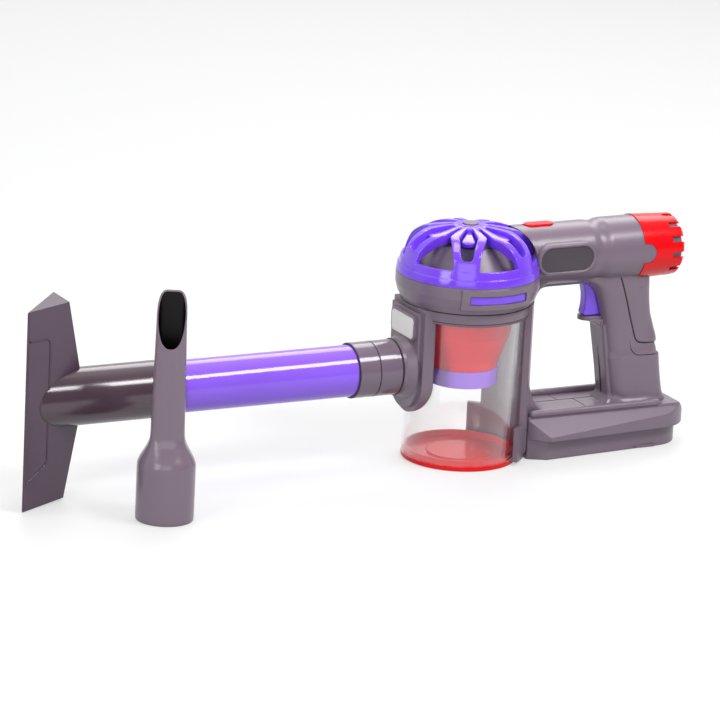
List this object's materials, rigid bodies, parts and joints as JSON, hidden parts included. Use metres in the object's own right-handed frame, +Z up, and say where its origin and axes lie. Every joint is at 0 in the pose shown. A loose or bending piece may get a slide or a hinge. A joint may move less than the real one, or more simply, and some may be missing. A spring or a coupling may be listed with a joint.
{
  "type": "toy vacuum cleaner",
  "caption": "Toy cordless vacuum cleaner with a clear cyclone bin under a petalled crown, a trigger handle, a pull-off wand with a turning floor head, and a loose crevice tool.",
  "frame": {"origin": "on the floor under the axis of the clear bin, in the middle of the flat underside of the bin door", "axes": "+X back from the bin to the handle, along the wand; +Y to the far side; +Z up along the axis of the bin"},
  "size_m": [0.5076, 0.1349, 0.1649],
  "materials": {
    "body_grey": "satin mauve-grey moulded plastic",
    "gloss_grey": "glossy dark mauve-grey moulded plastic",
    "purple": "glossy purple moulded plastic",
    "red": "glossy red moulded plastic",
    "clear": "clear moulded plastic",
    "pale": "bare pale plate",
    "steel": "plain steel",
    "white": "white moulded plastic",
    "cell": "metal can"
  },
  "bodies": {
    "body": {"housing_near": "body_grey", "housing_far": "body_grey", "crown_cover": "purple", "crown_boss": "body_grey", "cyclone_cowl": "body_grey", "cyclone_cone": "red", "cone_ring": "purple", "filter_screen": "steel", "clear_bin": "clear", "door_pin": "steel", "label_plate": "pale", "badge_near": "gloss_grey", "badge_far": "gloss_grey", "button_spring": "steel", "rear_cap": "red", "exhaust_core": "body_grey", "motor": "cell", "motor_mount": "gloss_grey", "grip_panel": "body_grey", "trigger_spring": "steel", "trigger_switch": "gloss_grey", "battery_cells": "cell", "battery_contacts": "steel", "battery_cover": "body_grey", "cover_screw": "steel", "housing_screws": "steel"},
    "bin_door": {"bin_door": "red"},
    "catch_near": {"catch_near": "purple"},
    "catch_far": {"catch_far": "purple"},
    "top_button": {"top_button": "red"},
    "trigger": {"trigger": "purple"},
    "fan": {"fan": "white", "fan_shaft": "steel"},
    "wand": {"wand_tube": "purple", "wand_socket": "gloss_grey", "wand_collar": "gloss_grey"},
    "floor_head": {"floor_pipe": "gloss_grey", "floor_head": "gloss_grey"},
    "crevice_tool": {"crevice_tool": "gloss_grey"}
  },
  "joints": [
    {"name": "door_hinge", "type": "hinge", "parent": "body", "child": "bin_door", "pos_m": [0.046, 0, 0.0036], "axis": [0, -1, 0], "range_deg": [0, 90]},
    {"name": "catch_near_press", "type": "slide", "parent": "body", "child": "catch_near", "axis": [0, 1, 0], "range_m": [0, 0.002], "stiffness_N_per_m": 1000, "springref_m": -0.0005},
    {"name": "catch_far_press", "type": "slide", "parent": "body", "child": "catch_far", "axis": [0, -1, 0], "range_m": [0, 0.002], "stiffness_N_per_m": 1000, "springref_m": -0.0005},
    {"name": "top_button_press", "type": "slide", "parent": "body", "child": "top_button", "axis": [0, 0, -1], "range_m": [0, 0.0012], "stiffness_N_per_m": 1200, "springref_m": -0.0005, "deforming": ["button_spring"]},
    {"name": "trigger_pull", "type": "slide", "parent": "body", "child": "trigger", "axis": [1, 0, 0], "range_m": [0, 0.004], "stiffness_N_per_m": 400, "springref_m": -0.001, "deforming": ["trigger_spring"]},
    {"name": "fan_spin", "type": "hinge", "parent": "body", "child": "fan", "pos_m": [0.0773, 0, 0.1386], "axis": [1, 0, 0], "continuous": true},
    {"name": "wand_pull", "type": "slide", "parent": "body", "child": "wand", "axis": [-1, 0, 0], "range_m": [0, 0.025]},
    {"name": "floor_head_turn", "type": "hinge", "parent": "wand", "child": "floor_head", "pos_m": [-0.23, 0, 0.0678], "axis": [1, 0, 0], "continuous": true},
    {"name": "crevice_tool_lift", "type": "slide", "parent": "body", "child": "crevice_tool", "axis": [0, 0, 1], "range_m": [0, 0.15]}
  ]
}
